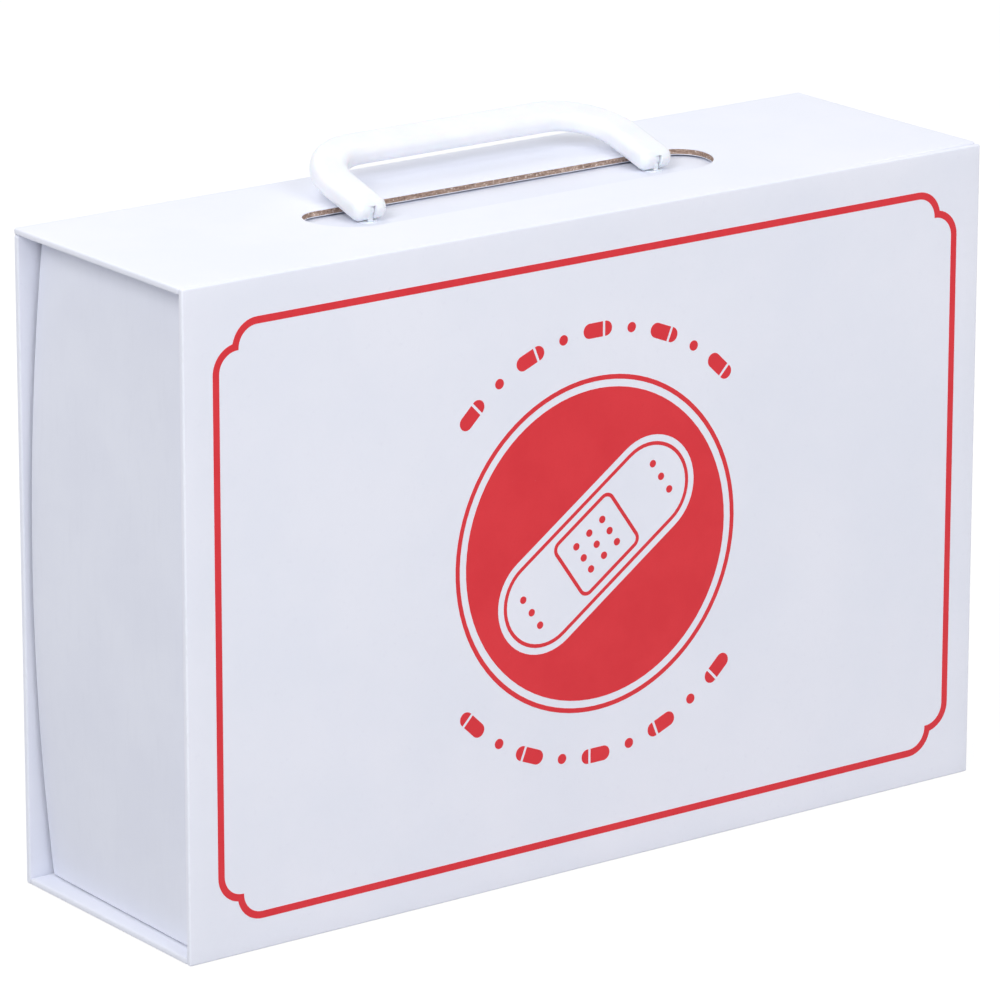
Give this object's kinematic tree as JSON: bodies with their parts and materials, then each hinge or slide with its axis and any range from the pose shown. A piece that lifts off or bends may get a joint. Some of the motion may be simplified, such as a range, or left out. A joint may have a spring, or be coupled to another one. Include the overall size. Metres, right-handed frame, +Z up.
{
  "type": "toy doctor case",
  "caption": "Book-style white carton case with a card tray, a hinged lid with a windowed flap that locks over a swinging carry handle, and a red border and badge.",
  "frame": {"origin": "middle of the base's outer face, which stands on the floor", "axes": "+Z up, +X to the right seen from the printed front, the printed front faces -Y"},
  "size_m": [0.28, 0.0841, 0.2067],
  "materials": {
    "greyboard": "raw brown-grey board",
    "cover_paper": "white laminated, satin",
    "lining_paper": "white, matt",
    "tray_card": "white coated card",
    "red_ink": "red ink under film",
    "white_plastic": "satin moulded"
  },
  "bodies": {
    "case": {"front_board": "greyboard", "bottom_board": "greyboard", "front_wrap": "cover_paper", "bottom_wrap": "cover_paper", "bottom_lining": "lining_paper", "front_print": "red_ink", "tray_base": "tray_card", "tray_left_wall": "tray_card", "tray_right_wall": "tray_card", "tray_top_wall": "tray_card", "tray_bottom_wall": "tray_card", "tray_corner_tabs": "tray_card", "handle_strip": "greyboard", "left_anchor": "white_plastic", "right_anchor": "white_plastic", "left_lock_washer": "white_plastic", "right_lock_washer": "white_plastic"},
    "lid": {"back_board": "greyboard", "back_wrap": "cover_paper", "back_lining": "lining_paper"},
    "flap": {"top_board": "greyboard", "top_wrap": "cover_paper", "top_lining": "lining_paper"},
    "handle": {"handle": "white_plastic"}
  },
  "joints": [
    {"name": "lid_hinge", "type": "hinge", "parent": "case", "child": "lid", "pos_m": [0, 0.042, 0], "axis": [-1, 0, 0], "range_deg": [0, 88]},
    {"name": "flap_hinge", "type": "hinge", "parent": "lid", "child": "flap", "pos_m": [0, 0.042, 0.193], "axis": [-1, 0, 0], "range_deg": [0, 88]},
    {"name": "handle_swing", "type": "hinge", "parent": "case", "child": "handle", "pos_m": [0, -0.0015, 0.194], "axis": [1, 0, 0], "range_deg": [0, 78]}
  ],
  "couplings": [
    {"joint": "flap_hinge", "follows": "lid_hinge", "ratio": 1}
  ]
}
